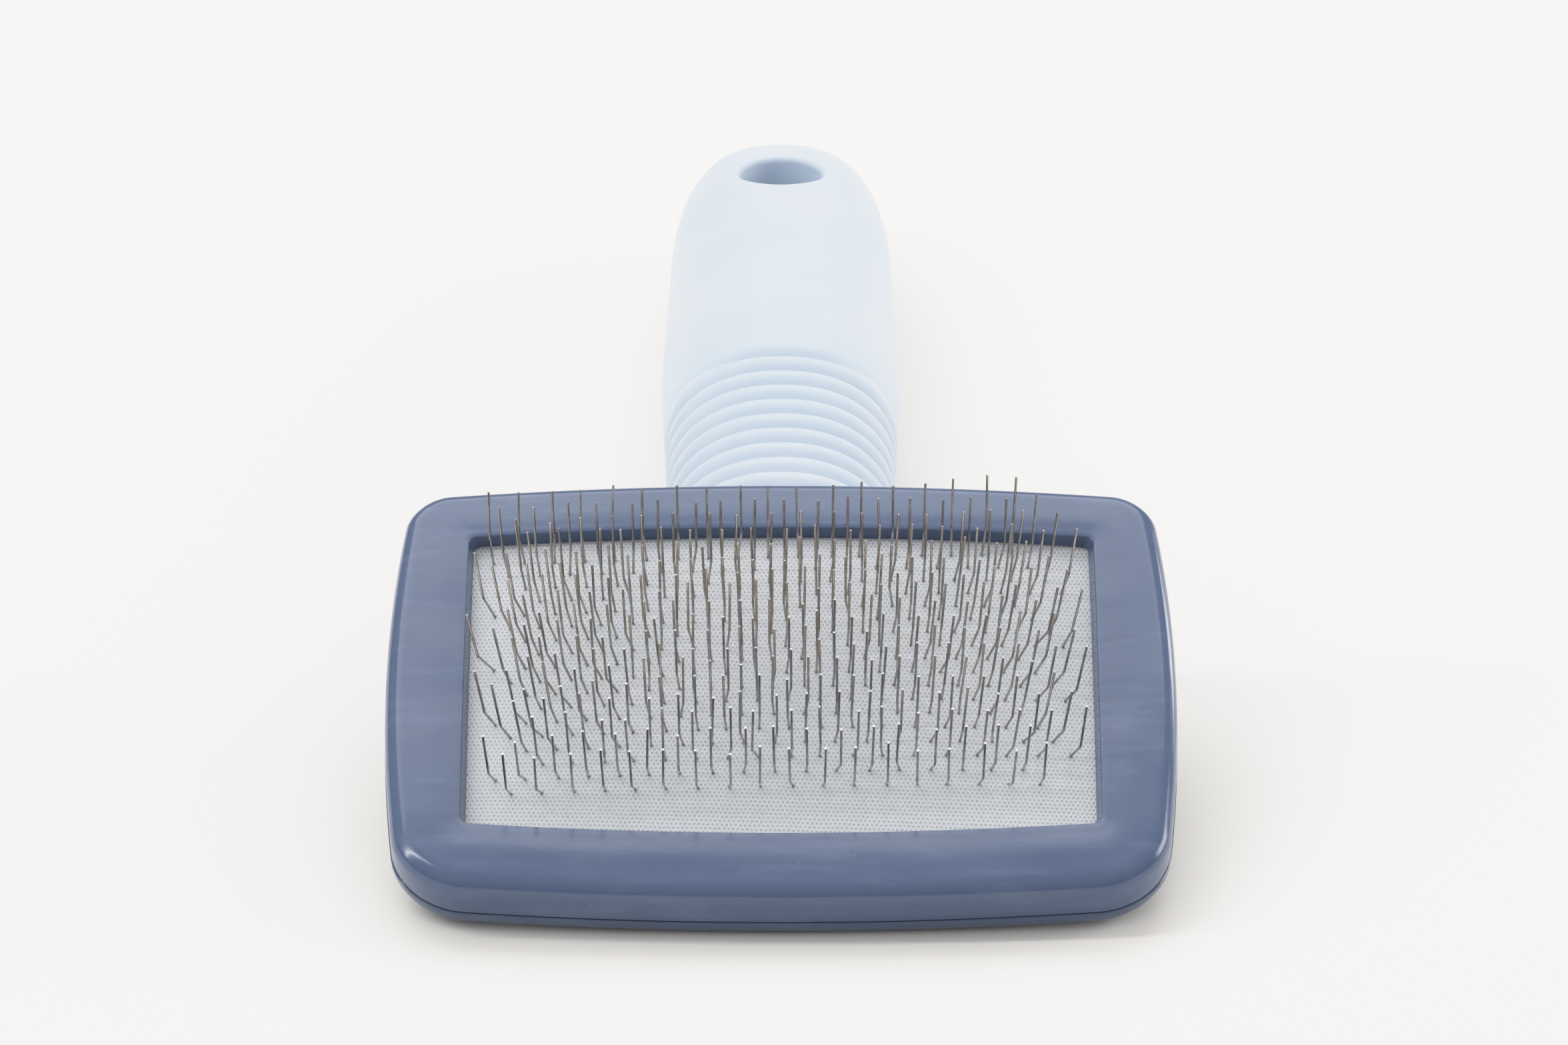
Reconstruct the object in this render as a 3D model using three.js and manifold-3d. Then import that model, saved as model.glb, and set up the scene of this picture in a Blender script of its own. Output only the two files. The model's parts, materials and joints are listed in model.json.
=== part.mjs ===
// A slicker brush for pets, lying on its back with its pins up.
// Millimetres, +Z up, +Y from the head to the handle's tip, X across the head.
// The origin is under the middle of the brush, on the surface that it lies on.

import * as THREE from "three";
import Module from "manifold-3d";

const wasm = await Module();
wasm.setup();

// ---------------------------------------------------------------- driving dimensions

const GAP = 0.3; // between pieces that touch

// Poses of the head and the handle
const HEAD_TILT = THREE.MathUtils.degToRad(20); // the head rises from its front edge
const HEAD_HEIGHT = 19.65; // middle of the head's face above the table
const HANDLE_SLOPE = THREE.MathUtils.degToRad(2.5); // the handle falls to its tip
const HANDLE_START = 32.3; // the grip's front end, behind the head's middle
const HANDLE_AXIS_HEIGHT = 15.85; // the grip's axis at its front end, above the table

// Head: outlines seen along its normal; "bow" is how far a side curves outward.
// The corners by the front edge are rounder than those by the handle.
const HEAD_OUTLINE = {
  halfX: 51,
  halfY: 35,
  frontCorner: 8.2,
  backCorner: 5.2,
  bowX: 2.5,
  bowY: 2.4,
};
const OPENING = { halfX: 40.8, halfY: 25.6, frontCorner: 1.1, backCorner: 1.1, bowX: 0.1, bowY: 2 };
const OPENING_SHIFT = 0.8; // the opening sits this far towards the handle

// Bezel: distances below its face
const BEZEL_DEPTH = 5.4;
const BEZEL_ROUND = 1.8;
const BEZEL_WALL = 2;
const LIP_DEPTH = 2.2;
const LIP_ROUND = 0.4;

// Back shell
const SHELL_PROUD = 0.1; // stands out past the bezel
const SHELL_WALL = 0.4; // straight edge under the joint line
const SHELL_ROUND = 3.2;
const SHELL_FLOOR = 1.6;
const RIM_INSET = 2.4;
const RIM_THICKNESS = 1.6;
const RIM_TOP = 2.7;
const SHELL_TOP = BEZEL_DEPTH + GAP;
const SHELL_BACK = SHELL_TOP + SHELL_WALL + SHELL_ROUND;

// Snap hooks that hold the bezel on the back shell
const HOOK = { width: 8, reach: 1.1, height: 1, depth: 4.7 };
const HOOK_CLEARANCE = 0.5;
const HOOK_ROOT = 0.6; // a hook starts this far inside the bezel's wall
const HOOK_PLACES = [
  { x: -25, side: -1 },
  { x: 25, side: -1 },
  { x: -25, side: 1 },
  { x: 25, side: 1 },
];

// Pin pad: a cloth face on a crowned rubber ply, over a foam cushion
const PAD_HALF = { x: 42.8, y: 27 };
const PAD_CROWN = 2;
const CROWN_REACH = { x: 42, y: 26.5 };
const CLOTH_TOP = LIP_DEPTH + GAP;
const CLOTH_THICKNESS = 0.4;
const PLY_GAP = 0.2;
const RUBBER_TOP = CLOTH_TOP + CLOTH_THICKNESS + PLY_GAP;
const RUBBER_EDGE = 1.2;
const RUBBER_BOTTOM = RUBBER_TOP + RUBBER_EDGE;

// Pins: each row of staples shares one crown bar under the rubber
const ROWS = 18;
const PINS_PER_ROW = 18;
const PIN_PITCH = 3.98;
const ROW_PITCH = 2.29;
const ROW_STAGGER = 0.25; // rows lie this share of a pitch to either side in turn
const PAIR_STAGGER = 0.5; // and so do pairs of rows by this share
const FIELD_CENTRE = { x: -0.17, y: 2.5 }; // of the pin field, from the opening's middle
const FIELD_TURN = THREE.MathUtils.degToRad(1.3); // the pad lies slightly turned in its frame
const WIRE_RADIUS = 0.27; // corner radius of the three-sided wire
const WIRE_TURN = 1.9; // turns the section so that no side lies along the row
const LOWER_LENGTH = 4.2; // from the cloth to the knee
const UPPER_LENGTH = 6.2; // from the knee to the tip

// The pins fan out over the crowned pad. In degrees from the head's normal:
const LEAN = { middle: -12, linear: 13, cubic: 8 }; // of a lower part, towards the handle
const KNEE_BEND = 38; // an upper part leans this much more towards the handle
const SPLAY = { end: 19, power: 1.7, rowFade: 0.75 }; // of a lower part, sideways
const UPPER_SPLAY = 0.62; // share of it that an upper part keeps
const SPLAY_REACH = 35; // from the middle of the field to its ends
const CROWN_TOP = RUBBER_BOTTOM + PLY_GAP;
const CROWN_BAR = { width: 0.6, height: 0.6 };
const SLOT_WIDTH = 1.1;
const SLOT_HALF = 37.8;

// Grip, along its own axis from its front end
const GRIP_LENGTH = 132;
const CAP_START = 92; // the rounded end starts here
const CAP_POWER = 2.4;
const CAP_STEPS = 7;
const GRIP_POWER = 2.2; // 2 would be an ellipse
const GRIP_STOPS = [
  // distance, half width, above the axis, below the axis
  [0, 14.8, 13.2, 13.0],
  [22, 15.35, 13.3, 13.3],
  [44, 16.0, 13.4, 13.3],
  [62, 16.5, 13.5, 13.1],
  [CAP_START, 15.75, 13.2, 11.6],
  [GRIP_LENGTH, 15.5, 12.6, 10.4],
];
const BEADS = 10;
const BEAD_PITCH = 4.43;
const BEAD_DEPTH = 1.3;
const BEAD_RUN = 3; // the smooth body rolls into the last groove over this length
const SMOOTH_PLACES = [62, 77]; // sections between the ribs and the rounded end
const HANG_HOLE = { place: 107.5, radius: 5.9 };

// Handle core, one piece with the back shell
const TANG = { halfWidth: 9.5, halfHeight: 6, power: 2.6 };
const EYE = { outer: 10.4, bore: HANG_HOLE.radius + 1.6, halfHeight: 5 };
const NECK_STOPS = [
  // distance behind the head's middle, half width, lowest point above the table
  [0, 8, 11.2],
  [8, 10.4, 10.2],
  [16, 11.8, 7.4],
  [24, 12.9, 5.1],
  [HANDLE_START - 1, 13.6, 3.6],
];
const NECK_SINK = 1; // the neck reaches this far into the shell's floor
const NECK_WIDEST = 0.62; // share of its height at which the neck is widest
const NECK_POWER = { above: 12, below: 2.4 }; // square under the shell, round below
const CORE_ROOT = 3; // the core starts this far inside the neck
const ROOM_ABOVE = 20; // the grip's front end is cut away this far above the head's face

// Smoothness
const ARC_STEPS = 5;
const LONG_STEPS = 6;
const SHORT_STEPS = 2;
const ROUND_STEPS = 3;
const SECTION_POINTS = 24;
const ROD_SIDES = 20;
const BEAD_PHASES = [0, 0.28, 0.72]; // from groove to groove
const SHARPEST_CORNER = 0.2;
const CLOTH_GRID = [-1, -0.6, 0, 0.6, 1]; // shares of the pad's half size

const BEZEL_BLUE = "#66728c";
const SHELL_BLUE = "#5a6676";
const GRIP_BLUE = "#cfdbe6";
const CLOTH_GREY = "#b6babd";
const RUBBER_GREY = "#8d9399";
const FOAM_GREY = "#d8d6d0";
const WIRE_STEEL = "#8f8a86";

// ---------------------------------------------------------------- frames

const headFrame = new THREE.Matrix4()
  .makeTranslation(0, 0, HEAD_HEIGHT)
  .multiply(new THREE.Matrix4().makeRotationX(HEAD_TILT));

const handleFrame = new THREE.Matrix4()
  .makeTranslation(0, HANDLE_START, HANDLE_AXIS_HEIGHT)
  .multiply(new THREE.Matrix4().makeRotationX(-HANDLE_SLOPE));

// ---------------------------------------------------------------- shape helpers

// Rounded rectangle with bowed sides, anticlockwise, with the same number of points
// for every size, so that any two of them can be joined by a skin.
function outline(shape, inset) {
  const halfX = shape.halfX - shape.bowX - inset;
  const halfY = shape.halfY - shape.bowY - inset;
  const onCorner = (quarter, turn) => {
    const signX = quarter % 4 === 0 || quarter % 4 === 3 ? 1 : -1;
    const signY = quarter % 4 < 2 ? 1 : -1;
    const full = signY > 0 ? shape.backCorner : shape.frontCorner;
    const corner = Math.max(full - inset, SHARPEST_CORNER);
    const angle = (quarter + turn) * (Math.PI / 2);
    return new THREE.Vector2(
      signX * (halfX - corner) + corner * Math.cos(angle),
      signY * (halfY - corner) + corner * Math.sin(angle),
    );
  };
  const points = [];
  for (let quarter = 0; quarter < 4; quarter++) {
    for (let step = 0; step <= ARC_STEPS; step++) {
      points.push(onCorner(quarter, step / ARC_STEPS));
    }
    const steps = quarter % 2 === 0 ? LONG_STEPS : SHORT_STEPS;
    const start = onCorner(quarter, 1);
    const end = onCorner(quarter + 1, 0);
    for (let step = 1; step < steps; step++) {
      points.push(start.clone().lerp(end, step / steps));
    }
  }
  return points.map(
    (p) =>
      new THREE.Vector2(
        p.x + shape.bowX * (p.x / halfX) * (1 - (p.y / halfY) ** 2),
        p.y + shape.bowY * (p.y / halfY) * (1 - (p.x / halfX) ** 2),
      ),
  );
}

// An outline placed at a depth below the head's face
function headRing(shape, inset, depth, shiftY = 0) {
  return outline(shape, inset).map((p) => new THREE.Vector3(p.x, p.y + shiftY, -depth));
}

// A closed skin over rings of equal length. Its ends are capped, or joined if it is a loop.
function skin(rings, loop = false) {
  const count = rings[0].length;
  const points = rings.flat();
  const faces = [];
  const last = loop ? rings.length : rings.length - 1;
  for (let k = 0; k < last; k++) {
    const low = k * count;
    const high = ((k + 1) % rings.length) * count;
    for (let i = 0; i < count; i++) {
      const j = (i + 1) % count;
      faces.push([low + i, low + j, high + j], [low + i, high + j, high + i]);
    }
  }
  if (!loop) {
    for (const [first, turn] of [[0, true], [(rings.length - 1) * count, false]]) {
      const middle = new THREE.Vector3();
      for (let i = 0; i < count; i++) middle.addScaledVector(points[first + i], 1 / count);
      points.push(middle);
      for (let i = 0; i < count; i++) {
        const a = first + i;
        const b = first + ((i + 1) % count);
        faces.push(turn ? [b, a, points.length - 1] : [a, b, points.length - 1]);
      }
    }
  }
  return facingOut(points, faces);
}

// Turns every face round if the solid is inside out, and makes the geometry
function facingOut(points, faces) {
  let volume = 0;
  for (const [a, b, c] of faces) {
    volume += points[a].dot(new THREE.Vector3().crossVectors(points[b], points[c]));
  }
  const order = volume > 0 ? faces : faces.map(([a, b, c]) => [a, c, b]);
  const geometry = new THREE.BufferGeometry().setFromPoints(points);
  geometry.setIndex(order.flat());
  return geometry;
}

function toSolid(geometry) {
  return new wasm.Manifold(
    new wasm.Mesh({
      numProp: 3,
      vertProperties: Float32Array.from(geometry.attributes.position.array),
      triVerts: Uint32Array.from(geometry.index.array),
    }),
  );
}

function toGeometry(solid) {
  const { vertProperties, triVerts } = solid.getMesh();
  const geometry = new THREE.BufferGeometry();
  geometry.setAttribute("position", new THREE.BufferAttribute(vertProperties, 3));
  geometry.setIndex(Array.from(triVerts));
  return geometry;
}

// A box given by its middle and its full size, with corners shared between faces
function boxSolid(middle, size) {
  const ring = (z) =>
    [[-1, -1], [1, -1], [1, 1], [-1, 1]].map(
      ([x, y]) =>
        new THREE.Vector3(
          middle.x + (x * size.x) / 2,
          middle.y + (y * size.y) / 2,
          middle.z + (z * size.z) / 2,
        ),
    );
  return toSolid(skin([ring(-1), ring(1)]));
}

// A round bar along Z
function rodSolid(middle, radius, height, sides) {
  const ring = (z) =>
    Array.from({ length: sides }, (_, i) => {
      const angle = ((i + 0.5) / sides) * 2 * Math.PI;
      return new THREE.Vector3(
        middle.x + radius * Math.cos(angle),
        middle.y + radius * Math.sin(angle),
        middle.z + (z * height) / 2,
      );
    });
  return toSolid(skin([ring(-1), ring(1)]));
}

// A smooth curve through rows of [place, value, value, ...], read at one place
function through(stops, place) {
  const last = stops.length - 1;
  let k = 0;
  while (k < last - 1 && place > stops[k + 1][0]) k++;
  const [a, b] = [stops[k], stops[k + 1]];
  const before = stops[Math.max(k - 1, 0)];
  const after = stops[Math.min(k + 2, last)];
  const span = b[0] - a[0];
  const t = THREE.MathUtils.clamp((place - a[0]) / span, 0, 1);
  return a.slice(1).map((value, i) => {
    const slopeA = ((b[i + 1] - before[i + 1]) / (b[0] - before[0])) * span;
    const slopeB = ((after[i + 1] - value) / (after[0] - a[0])) * span;
    const ease = t * t * (3 - 2 * t);
    return (
      value + (b[i + 1] - value) * ease +
      slopeA * t * (1 - t) ** 2 -
      slopeB * t ** 2 * (1 - t)
    );
  });
}

// A rounded section across Y, with its own height above and below the axis
function section(y, halfWidth, above, below, powerAbove, powerBelow = powerAbove) {
  return Array.from({ length: SECTION_POINTS }, (_, i) => {
    const angle = (i / SECTION_POINTS) * 2 * Math.PI;
    const [c, s] = [Math.cos(angle), Math.sin(angle)];
    const power = s > 0 ? powerAbove : powerBelow;
    const height = s > 0 ? above : below;
    return new THREE.Vector3(
      halfWidth * Math.sign(c) * Math.abs(c) ** (2 / power),
      y,
      height * Math.sign(s) * Math.abs(s) ** (2 / power),
    );
  });
}

// ---------------------------------------------------------------- bezel

// Where the inside of a long side's wall is, at a place along it
function wallPlace(x, side, inset) {
  const halfX = HEAD_OUTLINE.halfX - HEAD_OUTLINE.bowX;
  const drop = HEAD_OUTLINE.bowY * (x / halfX) ** 2;
  return side * (HEAD_OUTLINE.halfY - drop - inset);
}

function hookBox(place, grow) {
  const reach = HOOK.reach + HOOK_ROOT;
  const y = wallPlace(place.x, place.side, BEZEL_WALL - HOOK_ROOT + reach / 2);
  return boxSolid(
    new THREE.Vector3(place.x, y, -HOOK.depth),
    new THREE.Vector3(HOOK.width + 2 * grow, reach + 4 * grow, HOOK.height + 2 * grow),
  );
}

function bezel() {
  const half = BEZEL_ROUND * (1 - Math.SQRT1_2);
  const rings = [
    headRing(HEAD_OUTLINE, BEZEL_WALL, BEZEL_DEPTH),
    headRing(HEAD_OUTLINE, 0, BEZEL_DEPTH),
    headRing(HEAD_OUTLINE, 0, BEZEL_ROUND),
    headRing(HEAD_OUTLINE, half, half),
    headRing(HEAD_OUTLINE, BEZEL_ROUND, 0),
    headRing(OPENING, -LIP_ROUND, 0, OPENING_SHIFT),
    headRing(OPENING, 0, LIP_ROUND, OPENING_SHIFT),
    headRing(OPENING, 0, LIP_DEPTH, OPENING_SHIFT),
    headRing(HEAD_OUTLINE, BEZEL_WALL, LIP_DEPTH),
  ];
  let solid = toSolid(skin(rings, true));
  for (const place of HOOK_PLACES) solid = solid.add(hookBox(place, 0));
  return toGeometry(solid).applyMatrix4(headFrame);
}

// ---------------------------------------------------------------- back shell

// The rounded lower edge, from the joint line to the flat back; grow makes room for it
function shellRound(grow) {
  const radius = SHELL_ROUND + grow;
  const rings = [];
  for (let step = 0; step <= ROUND_STEPS; step++) {
    const angle = (step / ROUND_STEPS) * (Math.PI / 2);
    const inset = radius * (1 - Math.cos(angle)) - SHELL_PROUD - grow;
    const depth = SHELL_TOP + SHELL_WALL + radius * Math.sin(angle);
    rings.push(headRing(HEAD_OUTLINE, inset, depth));
  }
  return rings;
}

function tray() {
  const rings = [];
  const floorInset = RIM_INSET + RIM_THICKNESS;
  rings.push(headRing(HEAD_OUTLINE, floorInset, SHELL_BACK - SHELL_FLOOR));
  rings.push(headRing(HEAD_OUTLINE, floorInset, RIM_TOP));
  rings.push(headRing(HEAD_OUTLINE, RIM_INSET, RIM_TOP));
  rings.push(headRing(HEAD_OUTLINE, RIM_INSET, SHELL_TOP));
  rings.push(headRing(HEAD_OUTLINE, -SHELL_PROUD, SHELL_TOP));
  rings.push(...shellRound(0));
  let solid = toSolid(skin(rings));
  for (const place of HOOK_PLACES) {
    solid = solid.subtract(hookBox(place, HOOK_CLEARANCE));
  }
  return solid;
}

// Height above the table of the shell's flat back, at a distance behind its middle
function backHeight(y) {
  const along = (y - SHELL_BACK * Math.sin(HEAD_TILT)) / Math.cos(HEAD_TILT);
  return HEAD_HEIGHT + along * Math.sin(HEAD_TILT) - SHELL_BACK * Math.cos(HEAD_TILT);
}

function neck() {
  const rings = NECK_STOPS.map(([y, halfWidth, bottom]) => {
    const top = backHeight(y) + NECK_SINK;
    const below = (top - bottom) * NECK_WIDEST;
    const above = top - bottom - below;
    const ring = section(y, halfWidth, above, below, NECK_POWER.above, NECK_POWER.below);
    return ring.map((p) => p.setZ(p.z + bottom + below));
  });
  return toSolid(skin(rings));
}

// The core inside the grip, with an eye round the hang hole; grow makes its cavity
function core(grow) {
  const start = -CORE_ROOT;
  const end = HANG_HOLE.place - EYE.bore;
  const rings = [start, end].map((y) =>
    section(y, TANG.halfWidth + grow, TANG.halfHeight + grow, TANG.halfHeight + grow, TANG.power),
  );
  const middle = new THREE.Vector3(0, HANG_HOLE.place, 0);
  const height = 2 * (EYE.halfHeight + grow);
  const eye = rodSolid(middle, EYE.outer + grow, height, ROD_SIDES);
  const bore = rodSolid(middle, EYE.bore - grow, 4 * height, ROD_SIDES);
  return toSolid(skin(rings)).add(eye).subtract(bore);
}

function inHandle(solid) {
  return toSolid(toGeometry(solid).applyMatrix4(handleFrame));
}

function backShell() {
  const head = toSolid(toGeometry(tray()).applyMatrix4(headFrame));
  return toGeometry(head.add(neck()).add(inHandle(core(0))));
}

// ---------------------------------------------------------------- grip

// How far the surface sinks below the smooth body, for the ribbed stretch
function beadSink(place) {
  const ribbed = BEADS * BEAD_PITCH;
  if (place >= ribbed) {
    const left = THREE.MathUtils.clamp(1 - (place - ribbed) / BEAD_RUN, 0, 1);
    return BEAD_DEPTH * left ** 2;
  }
  const phase = (place / BEAD_PITCH) % 1;
  return BEAD_DEPTH * (2 * phase - 1) ** 2;
}

function gripPlaces() {
  const places = [];
  for (let bead = 0; bead < BEADS; bead++) {
    for (const phase of BEAD_PHASES) places.push((bead + phase) * BEAD_PITCH);
  }
  const ribbed = BEADS * BEAD_PITCH;
  places.push(ribbed, ribbed + BEAD_RUN / 2, ribbed + BEAD_RUN, ...SMOOTH_PLACES, CAP_START);
  return places;
}

function gripRing(place, cap = 1) {
  const [halfWidth, above, below] = through(GRIP_STOPS, place);
  const sink = beadSink(place);
  return section(
    place,
    (halfWidth - sink) * cap,
    (above - sink) * cap,
    (below - sink) * cap,
    GRIP_POWER,
  );
}

function gripBody() {
  const rings = gripPlaces().map((place) => gripRing(place));
  for (let step = 1; step < CAP_STEPS; step++) {
    const angle = (step / CAP_STEPS) * (Math.PI / 2);
    const along = Math.sin(angle) ** (2 / CAP_POWER);
    const place = CAP_START + (GRIP_LENGTH - CAP_START) * along;
    rings.push(gripRing(place, Math.cos(angle) ** (2 / CAP_POWER)));
  }
  return toSolid(skin(rings));
}

// The room that the head takes, with a gap all round it
function headRoom() {
  const rings = [headRing(HEAD_OUTLINE, -SHELL_PROUD - GAP, -ROOM_ABOVE), ...shellRound(GAP)];
  return toSolid(skin(rings).applyMatrix4(headFrame));
}

function grip() {
  const middle = new THREE.Vector3(0, HANG_HOLE.place, 0);
  const hole = rodSolid(middle, HANG_HOLE.radius, GRIP_LENGTH, ROD_SIDES);
  const body = gripBody().subtract(core(GAP)).subtract(hole);
  return toGeometry(inHandle(body).subtract(headRoom()));
}

// ---------------------------------------------------------------- pin pad

function crown(x, y) {
  const across = Math.max(1 - (x / CROWN_REACH.x) ** 2, 0);
  const along = Math.max(1 - (y / CROWN_REACH.y) ** 2, 0);
  return PAD_CROWN * across * along;
}

// A plate whose top, and bottom if it is a cloth, follow the crown
function crownedPlate(top, bottom, crownedBottom) {
  const xs = CLOTH_GRID.map((share) => share * PAD_HALF.x);
  const ys = CLOTH_GRID.map((share) => share * PAD_HALF.y);
  const points = [];
  for (const level of [0, 1]) {
    for (const y of ys) {
      for (const x of xs) {
        const raised = level === 0 || crownedBottom ? crown(x, y) : 0;
        points.push(new THREE.Vector3(x, y + OPENING_SHIFT, raised - (level ? bottom : top)));
      }
    }
  }
  const at = (level, j, i) => (level * ys.length + j) * xs.length + i;
  const faces = [];
  for (let j = 0; j + 1 < ys.length; j++) {
    for (let i = 0; i + 1 < xs.length; i++) {
      faces.push([at(0, j, i), at(0, j, i + 1), at(0, j + 1, i + 1)]);
      faces.push([at(0, j, i), at(0, j + 1, i + 1), at(0, j + 1, i)]);
      faces.push([at(1, j, i), at(1, j + 1, i + 1), at(1, j, i + 1)]);
      faces.push([at(1, j, i), at(1, j + 1, i), at(1, j + 1, i + 1)]);
    }
  }
  const lastI = xs.length - 1;
  const lastJ = ys.length - 1;
  const edge = [];
  for (let i = 0; i < lastI; i++) edge.push([0, i]);
  for (let j = 0; j < lastJ; j++) edge.push([j, lastI]);
  for (let i = lastI; i > 0; i--) edge.push([lastJ, i]);
  for (let j = lastJ; j > 0; j--) edge.push([j, 0]);
  edge.forEach(([j, i], k) => {
    const [nextJ, nextI] = edge[(k + 1) % edge.length];
    faces.push([at(0, j, i), at(1, j, i), at(1, nextJ, nextI)]);
    faces.push([at(0, j, i), at(1, nextJ, nextI), at(0, nextJ, nextI)]);
  });
  return toSolid(facingOut(points, faces));
}

// A place in the turned pin field, in the head's frame
function fieldPoint(across, back) {
  const middle = new THREE.Vector2(FIELD_CENTRE.x, FIELD_CENTRE.y + OPENING_SHIFT);
  return new THREE.Vector2(across, back).rotateAround(new THREE.Vector2(), FIELD_TURN).add(middle);
}

function rowPlace(row) {
  return (row - (ROWS - 1) / 2) * ROW_PITCH;
}

function rowShift(row) {
  const stagger = row % 2 === 0 ? ROW_STAGGER : -ROW_STAGGER;
  const pairStagger = row % 4 < 2 ? -PAIR_STAGGER : PAIR_STAGGER;
  return (stagger + pairStagger) * PIN_PITCH;
}

// Corners of a rectangle that lies along a row
function rowRectangle(row, middle, halfLength, width) {
  return [[-1, -1], [1, -1], [1, 1], [-1, 1]].map(([sideX, sideY]) =>
    fieldPoint(middle + sideX * halfLength, rowPlace(row) + (sideY * width) / 2),
  );
}

function rowSlot(row) {
  const corners = rowRectangle(row, 0, SLOT_HALF, SLOT_WIDTH);
  const ring = (z) => corners.map(({ x, y }) => new THREE.Vector3(x, y, z));
  return toSolid(skin([ring(-2 * SHELL_BACK), ring(2 * SHELL_BACK)]));
}

function ply(top, bottom, crownedBottom) {
  let solid = crownedPlate(top, bottom, crownedBottom);
  for (let row = 0; row < ROWS; row++) {
    solid = solid.subtract(rowSlot(row));
  }
  return toGeometry(solid).applyMatrix4(headFrame);
}

function faceCloth() {
  return ply(CLOTH_TOP, CLOTH_TOP + CLOTH_THICKNESS, true);
}

function rubberPly() {
  return ply(RUBBER_TOP, RUBBER_BOTTOM, false);
}

function foamCushion() {
  const top = CROWN_TOP + CROWN_BAR.height + PLY_GAP;
  const bottom = SHELL_BACK - SHELL_FLOOR - GAP;
  const middle = new THREE.Vector3(0, OPENING_SHIFT, -(top + bottom) / 2);
  const size = new THREE.Vector3(2 * PAD_HALF.x, 2 * PAD_HALF.y, bottom - top);
  return toGeometry(boxSolid(middle, size)).applyMatrix4(headFrame);
}

// Where the lower and upper parts of a pin point, in the head's frame
function pinHeadings(place, row) {
  const along = row / ((ROWS - 1) / 2) - 1;
  const across = place / SPLAY_REACH;
  const lean = LEAN.middle + LEAN.linear * along + LEAN.cubic * along ** 3;
  const fade = 1 - SPLAY.rowFade * along ** 2;
  const splay = SPLAY.end * Math.sign(across) * Math.abs(across) ** SPLAY.power * fade;
  const heading = (leanDegrees, splayDegrees) => {
    const [tilt, side] = [leanDegrees, splayDegrees].map(THREE.MathUtils.degToRad);
    return new THREE.Vector3(
      Math.sin(side),
      Math.sin(tilt) * Math.cos(side),
      Math.cos(tilt) * Math.cos(side),
    );
  };
  return [heading(lean, splay), heading(lean + KNEE_BEND, UPPER_SPLAY * splay)];
}

// Sections of a pin's wire: at the crown bar, at the cloth, at its knee and at its tip
function wireRings(place, row) {
  const { x, y } = fieldPoint(place, rowPlace(row));
  const [lower, upper] = pinHeadings(place, row);
  const root = new THREE.Vector3(x, y, -CROWN_TOP);
  const foot = new THREE.Vector3(x, y, crown(x, y - OPENING_SHIFT) - CLOTH_TOP);
  const knee = foot.clone().addScaledVector(lower, LOWER_LENGTH);
  const tip = knee.clone().addScaledVector(upper, UPPER_LENGTH);
  const up = new THREE.Vector3(0, 0, 1);
  const bend = lower.clone().add(upper).normalize();
  const ring = (middle, normal) => {
    const across = new THREE.Vector3(1, 0, 0);
    const side = new THREE.Vector3().crossVectors(normal, across).normalize();
    return [0, 1, 2].map((i) => {
      const angle = (i / 3) * 2 * Math.PI + WIRE_TURN;
      return middle
        .clone()
        .addScaledVector(across, WIRE_RADIUS * Math.cos(angle))
        .addScaledVector(side, WIRE_RADIUS * Math.sin(angle));
    });
  };
  return [
    ring(root, up),
    ring(foot, up.clone().add(lower).normalize()),
    ring(knee, bend),
    ring(tip, upper),
  ];
}

// A row's crown bar, with its pins growing out of triangular holes in its top face
function pinRow(row) {
  const shift = rowShift(row);
  const halfLength = ((PINS_PER_ROW - 1) / 2) * PIN_PITCH;
  const wires = [];
  for (let pin = 0; pin < PINS_PER_ROW; pin++) {
    wires.push(wireRings(shift - halfLength + pin * PIN_PITCH, row));
  }
  const corners = rowRectangle(row, shift, halfLength + CROWN_BAR.width, CROWN_BAR.width);
  const level = (depth) => corners.map(({ x, y }) => new THREE.Vector3(x, y, -depth));
  const top = level(CROWN_TOP);
  const points = [...top, ...wires.flatMap((rings) => rings[0])];
  const flat = (list) => list.map((p) => new THREE.Vector2(p.x, p.y));
  const faces = THREE.ShapeUtils.triangulateShape(
    flat(top),
    wires.map((rings) => flat(rings[0])),
  );
  wires.forEach((rings, pin) => {
    let low = top.length + 3 * pin;
    for (const ring of rings.slice(1)) {
      const high = points.length;
      points.push(...ring);
      for (let i = 0; i < 3; i++) {
        const j = (i + 1) % 3;
        faces.push([low + i, low + j, high + j], [low + i, high + j, high + i]);
      }
      low = high;
    }
    faces.push([low, low + 1, low + 2]);
  });
  const bottom = points.length;
  points.push(...level(CROWN_TOP + CROWN_BAR.height));
  for (let i = 0; i < 4; i++) {
    const j = (i + 1) % 4;
    faces.push([i, bottom + i, bottom + j], [i, bottom + j, j]);
  }
  faces.push([bottom, bottom + 2, bottom + 1], [bottom, bottom + 3, bottom + 2]);
  return facingOut(points, faces).applyMatrix4(headFrame);
}

// ---------------------------------------------------------------- assembly

const plastic = (color) => ({ color, roughness: 0.3, metalness: 0 });
const soft = (color) => ({ color, roughness: 0.85, metalness: 0 });
const brush = new THREE.Group();

function addPiece(name, geometry, look) {
  const mesh = new THREE.Mesh(geometry, new THREE.MeshStandardMaterial(look));
  mesh.name = name;
  brush.add(mesh);
}

addPiece("bezel", bezel(), plastic(BEZEL_BLUE));
addPiece("back_shell", backShell(), plastic(SHELL_BLUE));
addPiece("grip", grip(), soft(GRIP_BLUE));
addPiece("face_cloth", faceCloth(), soft(CLOTH_GREY));
addPiece("rubber_ply", rubberPly(), soft(RUBBER_GREY));
addPiece("foam_cushion", foamCushion(), soft(FOAM_GREY));
for (let row = 0; row < ROWS; row++) {
  const name = `pin_row_${String(row + 1).padStart(2, "0")}`;
  addPiece(name, pinRow(row), { color: WIRE_STEEL, roughness: 0.25, metalness: 1 });
}

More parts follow.
